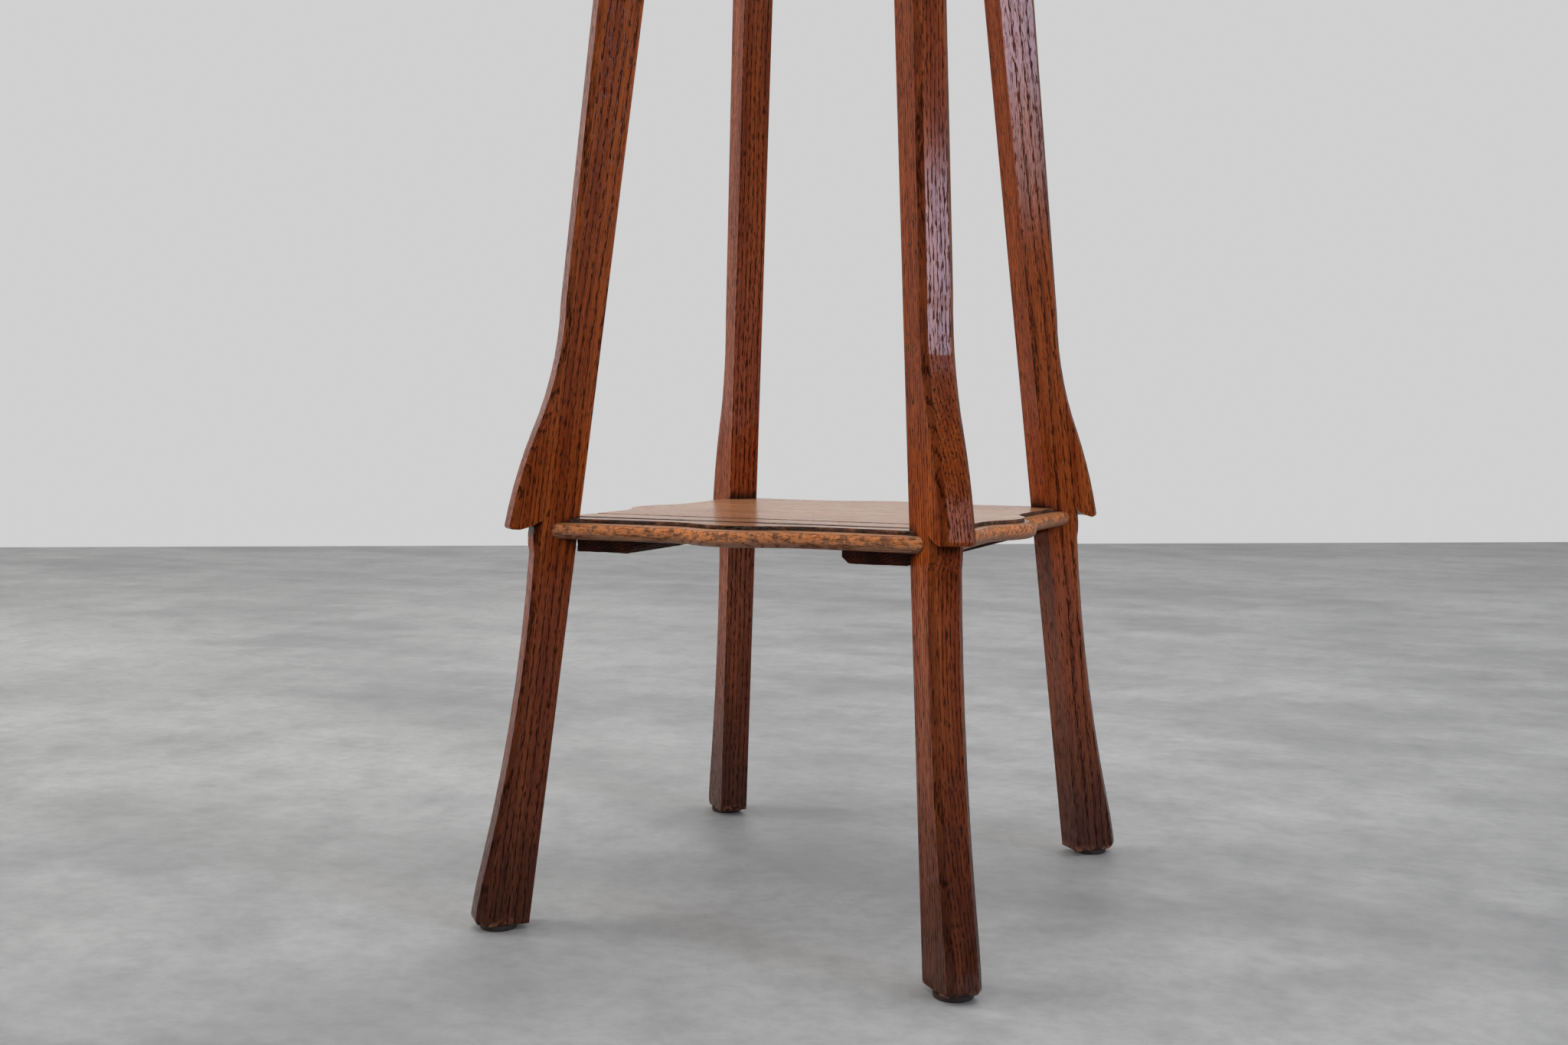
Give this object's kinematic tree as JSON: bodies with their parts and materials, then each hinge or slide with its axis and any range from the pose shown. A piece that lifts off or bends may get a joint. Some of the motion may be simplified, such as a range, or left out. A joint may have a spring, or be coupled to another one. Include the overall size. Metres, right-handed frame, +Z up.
{
  "type": "pedestal",
  "caption": "Tall square oak pedestal on flared diagonal plank legs with barbs, a low moulded shelf, and a small moulded top on arched aprons.",
  "frame": {"origin": "on the floor under the middle of the stand", "axes": "+Z up, -Y the front, +X the right side seen from the front; the legs stand in the four corners"},
  "size_m": [0.4264, 0.471, 1.1],
  "materials": {
    "leg_oak": "reddish brown stained oak, waxed",
    "shelf_oak": "reddish brown stained oak, waxed, worn on top",
    "top_oak": "reddish brown stained oak, waxed",
    "apron_oak": "reddish brown stained oak, waxed",
    "rough_oak": "rough sawn oak, dark stained",
    "block_pine": "planed softwood, unfinished",
    "dowel_beech": "bare beech",
    "glide_rubber": "dark matt furniture glide",
    "nail_steel": "dull steel",
    "screw_steel": "old darkened steel"
  },
  "bodies": {
    "root": {"leg_front_left": "leg_oak", "leg_front_right": "leg_oak", "leg_back_left": "leg_oak", "leg_back_right": "leg_oak", "shelf_board_front": "shelf_oak", "shelf_board_second": "shelf_oak", "shelf_board_third": "shelf_oak", "shelf_board_back": "shelf_oak", "shelf_batten_left": "rough_oak", "shelf_batten_right": "rough_oak", "batten_screws": "screw_steel", "shelf_dowel_front_left": "dowel_beech", "shelf_dowel_front_right": "dowel_beech", "shelf_dowel_back_left": "dowel_beech", "shelf_dowel_back_right": "dowel_beech", "glide_front_left": "glide_rubber", "glide_front_right": "glide_rubber", "glide_back_left": "glide_rubber", "glide_back_right": "glide_rubber", "glide_nails": "nail_steel", "top_board_front": "top_oak", "top_board_middle": "top_oak", "top_board_back": "top_oak", "apron_front": "apron_oak", "apron_back": "apron_oak", "apron_left": "apron_oak", "apron_right": "apron_oak", "top_block_front": "block_pine", "top_block_back": "block_pine", "top_block_left": "block_pine", "top_block_right": "block_pine", "top_screws": "screw_steel"}
  },
  "joints": []
}
